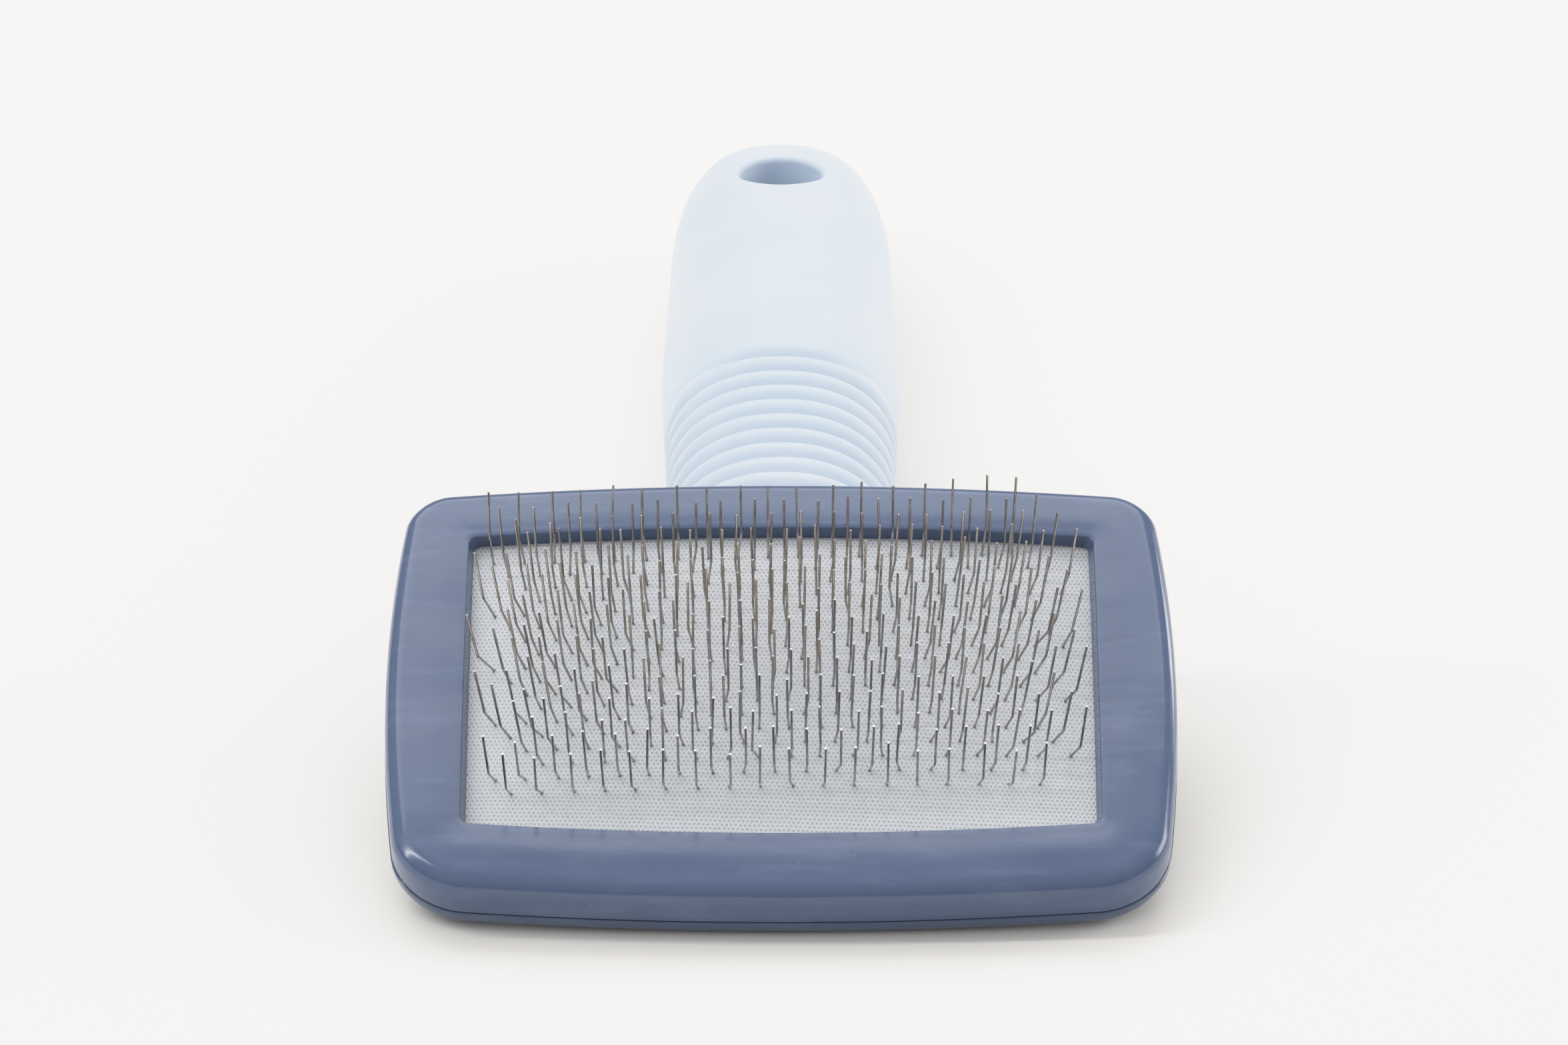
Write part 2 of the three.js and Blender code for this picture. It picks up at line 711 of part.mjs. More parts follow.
// The origin goes under the middle of the brush
const bounds = new THREE.Box3().setFromObject(brush);
brush.position.set(
  -(bounds.min.x + bounds.max.x) / 2,
  -(bounds.min.y + bounds.max.y) / 2,
  -bounds.min.z,
);

export default brush;
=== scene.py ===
"""The looks of a slicker brush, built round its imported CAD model.

Lengths are in millimetres until they are placed.
"""

import json
import math
import random

import bpy
import numpy as np
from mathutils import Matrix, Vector, noise


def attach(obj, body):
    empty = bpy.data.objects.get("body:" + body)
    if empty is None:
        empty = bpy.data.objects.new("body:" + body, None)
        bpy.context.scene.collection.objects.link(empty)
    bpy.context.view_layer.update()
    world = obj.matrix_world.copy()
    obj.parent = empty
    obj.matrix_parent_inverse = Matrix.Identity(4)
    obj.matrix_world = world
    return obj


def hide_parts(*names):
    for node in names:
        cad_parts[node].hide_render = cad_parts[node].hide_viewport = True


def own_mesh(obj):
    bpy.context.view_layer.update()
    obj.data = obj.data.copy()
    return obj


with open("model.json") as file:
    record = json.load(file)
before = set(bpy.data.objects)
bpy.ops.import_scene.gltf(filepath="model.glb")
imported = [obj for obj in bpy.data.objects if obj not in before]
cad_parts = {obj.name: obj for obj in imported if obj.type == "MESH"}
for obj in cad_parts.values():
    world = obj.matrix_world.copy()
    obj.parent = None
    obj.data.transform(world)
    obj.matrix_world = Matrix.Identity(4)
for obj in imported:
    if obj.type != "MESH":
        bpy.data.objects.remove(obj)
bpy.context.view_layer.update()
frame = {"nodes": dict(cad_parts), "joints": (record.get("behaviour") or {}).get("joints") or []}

MM = 0.001
NODES = frame["nodes"]

# ------------------------------------------------------------------ driving dimensions

GAP = 0.3
HEAD_OUTLINE = dict(half_x=51, half_y=35, front=8.2, back=5.2, bow_x=2.5, bow_y=2.4)
OPENING = dict(half_x=40.8, half_y=25.6, front=1.1, back=1.1, bow_x=0.1, bow_y=1.65)
OPENING_SHIFT = 0.8
BEZEL_DEPTH, BEZEL_ROUND, BEZEL_WALL = 5.4, 2.3, 2
LIP_DEPTH, LIP_ROUND, LIP_DRAFT = 1.9, 0.25, 0.55
BEZEL_CAMBER, BEZEL_SKIRT = 0.12, 5.55
CAMBERED_DEPTH = 2  # the camber lifts what lies no further than this below the face
FACE_SWELL, FACE_SWELL_POWER, FACE_STEPS = 0.08, 1.5, 10
JOINT_ROUND = 0.12  # edges on both sides of the joint line between bezel and shell
SHELL_PROUD, SHELL_WALL, SHELL_ROUND, SHELL_FLOOR = 0.1, 0.4, 3.2, 1.6
RIM_INSET, RIM_THICKNESS, RIM_TOP = 2.4, 1.6, 2.7
SHELL_TOP = BEZEL_DEPTH + GAP
SHELL_BACK = SHELL_TOP + SHELL_WALL + SHELL_ROUND

PAD_HALF_X, PAD_HALF_Y = 42.8, 27
CLOTH_GRID, RUBBER_GRID = (257, 163), (61, 41)  # points across and along
RIPPLE, RIPPLE_ACROSS, RIPPLE_ALONG, RIPPLE_PHASE = 0.07, 0.1, 0.16, 3.7
DIMPLE_DEPTH, DIMPLE_RADIUS = 0.14, 0.75
FOAM_CORNER, FOAM_POWER, FOAM_STEPS = 3, 1.2, 12
PAD_CROWN, CROWN_REACH_X, CROWN_REACH_Y = 1.7, 42.5, 27
CLOTH_TOP, CLOTH_THICKNESS = LIP_DEPTH + GAP, 0.4
RUBBER_TOP, RUBBER_BOTTOM = CLOTH_TOP + CLOTH_THICKNESS + 0.2, 4.3
CROWN_TOP, FOAM_TOP = 4.5, 5.3

ROWS, PINS_PER_ROW = 18, 18
PIN_PITCH, ROW_PITCH = 3.98, 2.29
ROW_STAGGER, PAIR_STAGGER = 0.25, 0.5  # shares of a pitch, to either side in turn
FIELD_X, FIELD_Y, FIELD_TURN = -0.17, 2.5, math.radians(1.3)
LOWER_LENGTH, UPPER_LENGTH = 4.2, 6.2
LEAN_MIDDLE, LEAN_LINEAR, LEAN_CUBIC, KNEE_BEND = -12, 13, 8, 38
SPLAY_END, SPLAY_POWER, SPLAY_FADE, UPPER_SPLAY, SPLAY_REACH = 19, 1.7, 0.75, 0.62, 35
WIRE_RADIUS, WIRE_SIDES = 0.165, 10
BURR_LENGTH, BURR_SWELL = 0.1, 1.08
KNEE_RADIUS, KNEE_STEPS, KNEE_PART = 0.32, 4, 2.2  # a bend takes at most 1 / KNEE_PART of a leg
PIN_SEED = 18
PLACE_SCATTER, LENGTH_SCATTER = 0.12, 0.18
LEAN_SCATTER, SPLAY_SCATTER, BEND_SCATTER, UPPER_SCATTER = 2.4, 3.0, 2.2, 1.1
LEG_SPLAY = 1.8  # the two legs of a staple lean apart by twice this
STRAIGHTENED = {(17, 16): 28, (17, 17): 27}  # (row, pin) pulled straight, and how far it leans
STRAIGHT_BEND, STRAIGHT_EXTRA = 3, 0.4
COLLARS = [(0.21, 0.0), (0.19, 0.25), (WIRE_RADIUS * 0.9, 0.5)]  # radius, share of the height
COLLAR_SIDES, COLLAR_SINK, COLLAR_HEIGHT, COLLAR_RAGGED, COLLAR_SEED = 9, 0.02, 0.16, 0.15, 5

HANDLE_START, HANDLE_DROP, HANDLE_SLOPE = 32.3, 3.8, math.radians(2.5)
GRIP_LENGTH, CAP_START, CAP_POWER, GRIP_POWER = 132, 92, 2.4, 2.2
GRIP_STOPS = [
    # distance, half width, above the axis, below the axis
    (0, 14.8, 13.2, 13.0),
    (22, 15.35, 13.3, 13.3),
    (44, 16.0, 13.4, 13.3),
    (62, 16.5, 13.5, 13.1),
    (CAP_START, 15.75, 13.2, 11.6),
    (GRIP_LENGTH, 15.5, 12.6, 10.4),
]
GRIP_POINTS, FRONT_ROUND = 128, 0.8
BEADS, BEAD_PITCH, BEAD_DEPTH, BEAD_POWER, BEAD_RUN = 10, 4.43, 1.45, 2.2, 2.4
BEAD_STEPS, RUN_STEPS, SMOOTH_STEPS, CAP_STEPS = 14, 8, 34, 44
LAST_GROOVE = (BEADS - 0.5) * BEAD_PITCH  # from here on the groove runs out towards the sides
RUN_OUT, RUN_OUT_START, RUN_OUT_WIDTH = 0.85, 0.3, 0.55
HOLE_PLACE, HOLE_RADIUS, HOLE_RIM, HOLE_POWER = 107.5, 5.9, 1.1, 2.55
FLATTER_FROM, FLATTER_OVER = 70, 32  # where the upper side goes from GRIP_POWER to HOLE_POWER
RIM_SWEEP, HOLE_FLARE, HOLE_BEYOND = math.radians(84), 1.25, 4
TANG_HALF_WIDTH, TANG_HALF_HEIGHT, TANG_POWER = 9.5, 6, 2.6
EYE_OUTER, EYE_BORE, EYE_HALF_HEIGHT = 10.4, HOLE_RADIUS + 1.6, 5
NECK_STOPS = [
    # distance behind the head's middle, half width, lowest point above the table
    (0, 8, 11.2),
    (8, 10.4, 10.2),
    (16, 11.8, 7.4),
    (24, 12.9, 5.1),
    (HANDLE_START - 1, 13.6, 3.6),
]
NECK_SINK, NECK_WIDEST, NECK_POWERS, NECK_STEPS, CORE_ROOT = 1, 0.62, (12, 2.4), 24, 3
NECK_POINTS, CORE_POINTS = 72, 48
HEAD_HEIGHT = 19.65
ROOM_ABOVE = 20

# ------------------------------------------------------------------ frames


def reach(node, direction):
    """How far a CAD node goes along a direction: its lowest and highest place, in metres."""
    places = [v.co.dot(direction) for v in NODES[node].data.vertices]
    return min(places), max(places)


ACROSS = Vector((1, 0, 0))
NORMAL = Vector(frame["joints"][0]["axis"]).normalized()  # out of the head's face
BACKWARD = NORMAL.cross(ACROSS)  # along the face, towards the handle
TILT = math.atan2(-NORMAL.y, NORMAL.z)
HEAD = BACKWARD * (sum(reach("bezel", BACKWARD)) / 2) + NORMAL * reach("bezel", NORMAL)[1]
TABLE = HEAD.z / MM - HEAD_HEIGHT  # the CAD's heights start this far above its lowest point

HANDLE = HEAD + Vector((0, HANDLE_START, -HANDLE_DROP)) * MM
HANDLE_ALONG = Vector((0, math.cos(HANDLE_SLOPE), -math.sin(HANDLE_SLOPE)))
HANDLE_UP = Vector((0, math.sin(HANDLE_SLOPE), math.cos(HANDLE_SLOPE)))


def on_head(points):
    """Points given across, backward and out of the head's face, placed in the row frame."""
    axes = np.array([ACROSS, BACKWARD, NORMAL])
    return np.array(HEAD) + np.asarray(points, float) * MM @ axes


def on_handle(points):
    axes = np.array([ACROSS, HANDLE_ALONG, HANDLE_UP])
    return np.array(HANDLE) + np.asarray(points, float) * MM @ axes


def upright(points):
    """Points given across, behind the head's middle and above the table."""
    start = np.array([0, HEAD.y, TABLE * MM])
    return start + np.asarray(points, float) * MM


# ------------------------------------------------------------------ mesh helpers


def add_mesh(name, points, faces, smooth_angle=None):
    mesh = bpy.data.meshes.new(name)
    mesh.from_pydata([tuple(p) for p in points], [], faces)
    mesh.validate()
    piece = bpy.data.objects.new(name, mesh)
    bpy.context.scene.collection.objects.link(piece)
    if smooth_angle is not None:
        shade(piece, smooth_angle)
    return piece


def shade(piece, angle):
    mesh = piece.data
    mesh.polygons.foreach_set("use_smooth", [True] * len(mesh.polygons))
    mesh.set_sharp_from_angle(angle=math.radians(angle))


def skin_faces(ring_count, point_count, loop=False):
    faces = []
    for k in range(ring_count if loop else ring_count - 1):
        low, high = k * point_count, (k + 1) % ring_count * point_count
        for i in range(point_count):
            j = (i + 1) % point_count
            faces.append((low + i, low + j, high + j, high + i))
    if not loop:
        faces.append(tuple(reversed(range(point_count))))
        faces.append(tuple(range((ring_count - 1) * point_count, ring_count * point_count)))
    return faces


def skin(name, rings, loop=False, smooth_angle=None):
    """A closed skin over rings of equal length, its ends capped or joined, with its faces out."""
    rings = np.asarray(rings, float)
    piece = add_mesh(name, rings.reshape(-1, 3), skin_faces(len(rings), len(rings[0]), loop))
    face_out(piece)
    if smooth_angle is not None:
        shade(piece, smooth_angle)
    return piece


def face_out(piece):
    mesh = piece.data
    points = np.array([v.co for v in mesh.vertices])
    points -= points.mean(0)
    mesh.calc_loop_triangles()
    corners = points[np.array([t.vertices for t in mesh.loop_triangles])]
    volume = np.einsum("ij,ij->", corners[:, 0], np.cross(corners[:, 1], corners[:, 2]))
    if volume < 0:
        mesh.flip_normals()


def cut(piece, other, operation="DIFFERENCE"):
    """Applies an exact boolean and removes the other mesh."""
    modifier = piece.modifiers.new("cut", "BOOLEAN")
    modifier.operation = operation
    modifier.solver = "EXACT"
    modifier.object = other
    graph = bpy.context.evaluated_depsgraph_get()
    made = bpy.data.meshes.new_from_object(piece.evaluated_get(graph))
    piece.modifiers.clear()
    piece.data = made
    bpy.data.objects.remove(other)
    return piece


def through(stops, place):
    """A smooth curve through rows of (place, value, value, ...), read at one place."""
    last = len(stops) - 1
    k = 0
    while k < last - 1 and place > stops[k + 1][0]:
        k += 1
    a, b = stops[k], stops[k + 1]
    before, after = stops[max(k - 1, 0)], stops[min(k + 2, last)]
    span = b[0] - a[0]
    t = min(max((place - a[0]) / span, 0), 1)
    ease = t * t * (3 - 2 * t)
    values = []
    for i in range(1, len(a)):
        slope_a = (b[i] - before[i]) / (b[0] - before[0]) * span
        slope_b = (after[i] - a[i]) / (after[0] - a[0]) * span
        bend = slope_a * t * (1 - t) ** 2 - slope_b * t**2 * (1 - t)
        values.append(a[i] + (b[i] - a[i]) * ease + bend)
    return values


def superellipse(count, half_width, above, below, power_above, power_below=None):
    """A rounded section as (across, up) pairs, with its own height above and below the axis."""
    turn = np.arange(count) / count * 2 * math.pi
    c, s = np.cos(turn), np.sin(turn)
    power = np.where(s > 0, power_above, power_below or power_above)
    height = np.where(s > 0, above, below)
    x = half_width * np.sign(c) * np.abs(c) ** (2 / power)
    z = height * np.sign(s) * np.abs(s) ** (2 / power)
    return x, z


def rod_rings(y, radius, half_height, sides=CORE_POINTS):
    """A round bar across the handle, at a place along it."""
    turn = np.arange(sides) / sides * 2 * math.pi
    ring = np.stack([radius * np.cos(turn), y + radius * np.sin(turn), 0 * turn], 1)
    return [on_handle(ring + [0, 0, side * half_height]) for side in (-1, 1)]


# ------------------------------------------------------------------ head outlines

CORNER_STEPS, LONG_STEPS, SHORT_STEPS = 14, 44, 24
SHARPEST_CORNER = 0.2


def corner_point(shape, half_x, half_y, inset, quarter, turn):
    sign_x = 1 if quarter % 4 in (0, 3) else -1
    sign_y = 1 if quarter % 4 < 2 else -1
    corner = max((shape["back"] if sign_y > 0 else shape["front"]) - inset, SHARPEST_CORNER)
    angle = (quarter + turn) * math.pi / 2
    x = sign_x * (half_x - corner) + corner * math.cos(angle)
    y = sign_y * (half_y - corner) + corner * math.sin(angle)
    return np.array([x, y])


def outline(shape, inset):
    """A rounded rectangle with bowed sides, with as many points at every size."""
    half_x = shape["half_x"] - shape["bow_x"] - inset
    half_y = shape["half_y"] - shape["bow_y"] - inset
    points = []
    for quarter in range(4):
        for step in range(CORNER_STEPS + 1):
            turn = step / CORNER_STEPS
            points.append(corner_point(shape, half_x, half_y, inset, quarter, turn))
        start = points[-1]
        end = corner_point(shape, half_x, half_y, inset, quarter + 1, 0)
        steps = LONG_STEPS if quarter % 2 == 0 else SHORT_STEPS
        for step in range(1, steps):
            points.append(start + (end - start) * step / steps)
    p = np.array(points)
    share_x, share_y = p[:, 0] / half_x, p[:, 1] / half_y
    bow_x = shape["bow_x"] * share_x * (1 - share_y**2)
    bow_y = shape["bow_y"] * share_y * (1 - share_x**2)
    return p + np.stack([bow_x, bow_y], 1)


def head_ring(shape, inset, depth, shift=0.0):
    p = outline(shape, inset)
    return np.stack([p[:, 0], p[:, 1] + shift, np.full(len(p), -depth)], 1)


def arc(radius, steps, first, last):
    """(inset, depth) pairs round an outer edge: 0 degrees is on the wall and 90 on the face."""
    for step in range(steps + 1):
        angle = math.radians(first + (last - first) * step / steps)
        yield radius * (1 - math.cos(angle)), radius * (1 - math.sin(angle))


# ------------------------------------------------------------------ materials


class Nodes:
    """A short way to write a node tree: n.add("TYPE", socket=value or another node's output)."""

    def __init__(self, name):
        self.material = bpy.data.materials.new(name)
        self.material.use_nodes = True
        self.tree = self.material.node_tree
        self.tree.nodes.clear()
        self.output = self.tree.nodes.new("ShaderNodeOutputMaterial")
        self.shader = self.tree.nodes.new("ShaderNodeBsdfPrincipled")
        self.link(self.shader.outputs[0], self.output.inputs["Surface"])

    def link(self, source, target):
        self.tree.links.new(source, target)

    def put(self, socket, value):
        if isinstance(value, bpy.types.NodeSocket):
            self.link(value, socket)
        else:
            socket.default_value = value

    def add(self, kind, settings=None, **inputs):
        node = self.tree.nodes.new(kind)
        for key, value in (settings or {}).items():
            setattr(node, key, value)
        for key, value in inputs.items():
            self.put(node.inputs[key.replace("_", " ")], value)
        return node

    def math(self, operation, *values, clamp=False):
        node = self.tree.nodes.new("ShaderNodeMath")
        node.operation = operation
        node.use_clamp = clamp
        for i, value in enumerate(values):
            self.put(node.inputs[i], value)
        return node.outputs[0]

    def place(self, scale=(1, 1, 1), rotation=(0, 0, 0)):
        """Object coordinates in millimetres, turned and stretched."""
        where = self.add("ShaderNodeTexCoord").outputs["Object"]
        turned = self.add("ShaderNodeMapping", Vector=where, Rotation=rotation)
        size = tuple(s / MM for s in scale)
        return self.add("ShaderNodeMapping", Vector=turned.outputs[0], Scale=size).outputs[0]

    def noise(self, where, scale, detail=3.0, rough=0.5):
        made = self.add("ShaderNodeTexNoise", Vector=where, Scale=scale, Detail=detail, Roughness=rough)
        return made.outputs[0]

    def ramp(self, value, low, high, to_low=0.0, to_high=1.0):
        made = self.add("ShaderNodeMapRange", {"interpolation_type": "SMOOTHSTEP"})
        for i, number in enumerate((value, low, high, to_low, to_high)):
            self.put(made.inputs[i], number)
        return made.outputs[0]

    def mix(self, share, first, second):
        made = self.add("ShaderNodeMix", {"data_type": "RGBA"})
        self.put(made.inputs["Factor"], share)
        self.put(made.inputs[6], first)
        self.put(made.inputs[7], second)
        return made.outputs[2]

    def bump(self, height, strength, distance, under=None):
        made = self.add("ShaderNodeBump", Height=height, Strength=strength, Distance=distance * MM)
        if under is not None:
            self.put(made.inputs["Normal"], under)
        return made.outputs[0]

    def finish(self, color, roughness, normal=None, **constants):
        self.put(self.shader.inputs["Base Color"], color)
        self.put(self.shader.inputs["Roughness"], roughness)
        if normal is not None:
            self.put(self.shader.inputs["Normal"], normal)
        for key, value in constants.items():
            self.shader.inputs[key.replace("_", " ")].default_value = value
        return self.material


def tone(r, g, b):
    """An 0 to 255 colour as seen, made linear."""
    return tuple(((c / 255 + 0.055) / 1.055) ** 2.4 if c > 10 else c / 3294.6 for c in (r, g, b)) + (1,)


def moulded_plastic(name, color, cloudy, speck):
    """Satin-gloss plastic with cloudy patches, fine scuffs, dust specks and a faint orange peel."""
    n = Nodes(name)
    where = n.place(rotation=(-TILT, 0, 0))
    patches = n.ramp(n.noise(n.place((0.4, 2.2, 1), (-TILT, 0, 0)), 0.16, 6, 0.62), 0.5, 0.68)
    body = n.mix(patches, color, cloudy)
    dots = n.add("ShaderNodeTexVoronoi", Vector=where, Scale=0.42)
    rare = n.math("GREATER_THAN", n.noise(where, 0.2, 2), 0.6)
    dust = n.math("MULTIPLY", n.ramp(dots.outputs["Distance"], 0.05, 0.015), rare)
    body = n.mix(n.math("MULTIPLY", dust, 0.5), body, speck)
    scuffs = n.ramp(n.noise(n.place((0.25, 3, 1), (-TILT, 0, 0.5)), 0.6, 6, 0.65), 0.56, 0.72)
    smear = n.noise(where, 0.07, 5, 0.6)
    rough = n.math("ADD", n.ramp(smear, 0.3, 0.7, 0.13, 0.22), n.math("MULTIPLY", scuffs, 0.07))
    peel = n.bump(n.noise(where, 1.1, 2), 0.22, 0.03)
    waves = n.bump(n.noise(where, 0.045, 2), 0.5, 0.5, peel)
    normal = n.bump(scuffs, 0.12, 0.01, waves)
    return n.finish(
        body, rough, normal, IOR=1.5, Specular_IOR_Level=0.5, Coat_Weight=0.12, Coat_Roughness=0.08,
    )


def grip_rubber():
    """Matt soft-touch rubber: a fine grain, faint marks and a few dust specks."""
    n = Nodes("grip_rubber")
    where = n.place()
    clouds = n.ramp(n.noise(where, 0.05, 4), 0.35, 0.7)
    body = n.mix(clouds, tone(192, 206, 222), tone(199, 210, 225))
    dots = n.add("ShaderNodeTexVoronoi", Vector=where, Scale=0.3)
    rare = n.math("GREATER_THAN", n.noise(where, 0.11, 2), 0.62)
    dust = n.math("MULTIPLY", n.ramp(dots.outputs["Distance"], 0.045, 0.015), rare)
    body = n.mix(n.math("MULTIPLY", dust, 0.55), body, tone(126, 130, 134))
    grain = n.bump(n.noise(where, 3.2, 4, 0.6), 0.25, 0.03)
    normal = n.bump(n.noise(where, 0.12, 3), 0.25, 0.25, grain)
    rough = n.ramp(n.noise(where, 0.25, 4), 0.3, 0.7, 0.5, 0.64)
    return n.finish(
        body, rough, normal, Specular_IOR_Level=0.5, Sheen_Weight=0.4, Sheen_Roughness=0.4,
        Subsurface_Weight=0.12, Subsurface_Scale=0.6 * MM,
    )


WEAVE_ACROSS, WEAVE_ALONG, WEAVE_TURN = 0.587, 0.61, math.radians(2)


def woven_cloth():
    """Plain weave with open pits in a staggered lattice, a little uneven; the pits carry painted shade, and
    are darker still where faintly soiled.
    """
    n = Nodes("cloth")
    where = n.place(rotation=(-TILT, 0, 0))
    wander = n.add("ShaderNodeTexNoise", Vector=where, Scale=0.35, Detail=2.0)
    wobble = n.add("ShaderNodeVectorMath", {"operation": "MULTIPLY_ADD"})
    n.put(wobble.inputs[0], wander.outputs["Color"])
    wobble.inputs[1].default_value = (0.22, 0.22, 0)
    n.put(wobble.inputs[2], where)
    turned = n.add("ShaderNodeMapping", Vector=wobble.outputs[0], Rotation=(0, 0, WEAVE_TURN))
    parts = n.add("ShaderNodeSeparateXYZ", Vector=turned.outputs[0])
    line = n.math("DIVIDE", parts.outputs["Y"], WEAVE_ALONG)
    stagger = n.math("MULTIPLY", n.math("FLOOR", line), 0.5)
    column = n.math("ADD", n.math("DIVIDE", parts.outputs["X"], WEAVE_ACROSS), stagger)
    side = n.math("SUBTRACT", n.math("FRACT", column), 0.5)
    up = n.math("MULTIPLY", n.math("SUBTRACT", n.math("FRACT", line), 0.5), 0.8)
    far = n.math("SQRT", n.math("ADD", n.math("MULTIPLY", side, side), n.math("MULTIPLY", up, up)))
    uneven = n.noise(where, 2.2, 2)
    pit = n.ramp(n.math("SUBTRACT", far, n.math("MULTIPLY", uneven, 0.24)), -0.02, 0.22, 1.0, 0.0)
    fibres = n.noise(where, 9, 3, 0.7)
    thread = n.mix(n.ramp(fibres, 0.3, 0.75), tone(197, 200, 204), tone(225, 226, 228))
    soil = n.ramp(n.noise(where, 0.5, 4, 0.6), 0.55, 0.78)
    # painted shade: the weave's pits are coloured darker than the threads, and darker still where the noise
    # marks soil
    pit_shade_and_soil = n.mix(soil, tone(146, 160, 170), tone(84, 90, 94))
    body = n.mix(n.math("MULTIPLY", pit, 0.55), thread, pit_shade_and_soil)
    cloudy = n.ramp(n.noise(where, 0.06, 3), 0.4, 0.7)
    body = n.mix(n.math("MULTIPLY", cloudy, 0.3), body, tone(190, 197, 201))
    weave = n.bump(n.math("MULTIPLY", pit, -1.0), 0.9, 0.09)
    normal = n.bump(fibres, 0.3, 0.03, weave)
    return n.finish(body, 0.85, normal, Specular_IOR_Level=0.2, Sheen_Weight=0.25, Sheen_Roughness=0.5)


def steel_wire():
    """Drawn steel with faint dark streaks; the cut faces are brighter, partly as bare metal and partly as a
    painted highlight.
    """
    n = Nodes("steel_wire")
    where = n.place()
    streak = n.ramp(n.noise(where, 0.5, 2), 0.35, 0.7)
    body = n.mix(streak, tone(150, 145, 141), tone(180, 175, 171))
    cut_end = n.add("ShaderNodeAttribute", {"attribute_name": "cut_end"}).outputs["Fac"]
    # painted highlight, partly: the cut faces are coloured bright, as bare metal and as the gleam of the
    # tips
    cut_face_and_highlight = n.ramp(cut_end, 0.55, 0.95)
    body = n.mix(cut_face_and_highlight, body, tone(222, 219, 215))
    drawn = n.ramp(n.noise(where, 0.8, 2), 0.3, 0.7, 0.14, 0.22)
    rough = n.math("ADD", drawn, n.math("MULTIPLY", cut_face_and_highlight, 0.3))
    return n.finish(body, rough, Metallic=1.0)


def ply_rubber():
    n = Nodes("ply_rubber")
    where = n.place()
    body = n.mix(n.noise(where, 0.4, 4), tone(134, 140, 146), tone(150, 155, 160))
    return n.finish(body, 0.7, n.bump(n.noise(where, 1.2, 3), 0.3, 0.05), Specular_IOR_Level=0.3)


def foam():
    n = Nodes("foam")
    cells = n.add("ShaderNodeTexVoronoi", Vector=n.place(), Scale=1.4)
    walls = n.ramp(cells.outputs["Distance"], 0.1, 0.6)
    # painted shade: the pores in the cells' middles are coloured darker than the cell walls
    body = n.mix(walls, tone(205, 202, 194), tone(226, 223, 216))
    return n.finish(body, 0.9, n.bump(walls, 0.6, 0.2), Specular_IOR_Level=0.2)


def puncture_shade():
    """The slightly frayed hole that each wire makes in the cloth, coloured dark as painted shade in the
    hole.
    """
    n = Nodes("puncture_shade")
    # painted shade: the collars are coloured much darker than the cloth round them
    body = n.mix(n.noise(n.place(), 6, 3), tone(104, 107, 110), tone(152, 156, 159))
    return n.finish(body, 0.9, Specular_IOR_Level=0.1)


def pale_floor():
    n = Nodes("pale_floor")
    body = n.mix(n.noise(n.place(), 0.004, 3), tone(250, 245, 238), tone(252, 248, 241))
    return n.finish(body, 0.75, Specular_IOR_Level=0.1)


# ------------------------------------------------------------------ housing


def bezel():
    """The head's front frame, with its soft outer edge, faintly crowned face and fine lip."""
    rings = [head_ring(HEAD_OUTLINE, BEZEL_WALL, BEZEL_DEPTH)]
    for inset, depth in arc(JOINT_ROUND, 3, 90, 0):
        rings.append(head_ring(HEAD_OUTLINE, inset, BEZEL_SKIRT - depth))
    rings.append(head_ring(HEAD_OUTLINE, 0, (BEZEL_DEPTH + BEZEL_ROUND) / 2))
    for inset, depth in arc(BEZEL_ROUND, 12, 0, 90):
        rings.append(head_ring(HEAD_OUTLINE, inset, depth))
    outer = head_ring(HEAD_OUTLINE, BEZEL_ROUND, 0)
    inner = head_ring(OPENING, -LIP_ROUND, 0, OPENING_SHIFT)
    for step in range(1, FACE_STEPS):
        share = step / FACE_STEPS
        ring = outer + (inner - outer) * share
        ring[:, 2] += FACE_SWELL * math.sin(math.pi * share) ** FACE_SWELL_POWER
        rings.append(ring)
    for inset, depth in reversed(list(arc(LIP_ROUND, 5, 0, 90))):
        rings.append(head_ring(OPENING, -inset, depth, OPENING_SHIFT))
    for ring in rings:
        cambered = ring[:, 2] > -CAMBERED_DEPTH
        ring[:, 2] += BEZEL_CAMBER * (1 - (ring[:, 1] / HEAD_OUTLINE["half_y"]) ** 2) * cambered
    foot_of_lip = head_ring(OPENING, 0, LIP_DEPTH, OPENING_SHIFT)
    foot_of_lip[:, 0] *= 1 - LIP_DRAFT / OPENING["half_x"]
    rings.append(foot_of_lip)
    rings.append(head_ring(HEAD_OUTLINE, BEZEL_WALL, LIP_DEPTH))
    return skin("bezel_frame", [on_head(ring) for ring in rings], loop=True, smooth_angle=50)


def shell_rings(grow):
    """The shell's rounded lower edge, from the joint line to its flat back."""
    radius = SHELL_ROUND + grow
    rings = []
    for inset, depth in arc(radius, 10, 0, 90):
        below = SHELL_TOP + SHELL_WALL + radius - depth
        rings.append(head_ring(HEAD_OUTLINE, inset - SHELL_PROUD - grow, below))
    return rings


def tray():
    """The back shell without its neck: a shallow tray with a rim inside the bezel."""
    floor_inset = RIM_INSET + RIM_THICKNESS
    rings = [
        head_ring(HEAD_OUTLINE, floor_inset, SHELL_BACK - SHELL_FLOOR),
        head_ring(HEAD_OUTLINE, floor_inset, RIM_TOP),
        head_ring(HEAD_OUTLINE, RIM_INSET, RIM_TOP),
        head_ring(HEAD_OUTLINE, RIM_INSET, SHELL_TOP),
        head_ring(HEAD_OUTLINE, JOINT_ROUND - SHELL_PROUD, SHELL_TOP),
        head_ring(HEAD_OUTLINE, -SHELL_PROUD, SHELL_TOP + JOINT_ROUND),
    ]
    rings += shell_rings(0)
    return skin("shell", [on_head(ring) for ring in rings])


def back_height(y):
    """Height above the table of the shell's flat back, at a distance behind its middle."""
    along = (y - SHELL_BACK * math.sin(TILT)) / math.cos(TILT)
    return HEAD_HEIGHT + along * math.sin(TILT) - SHELL_BACK * math.cos(TILT)


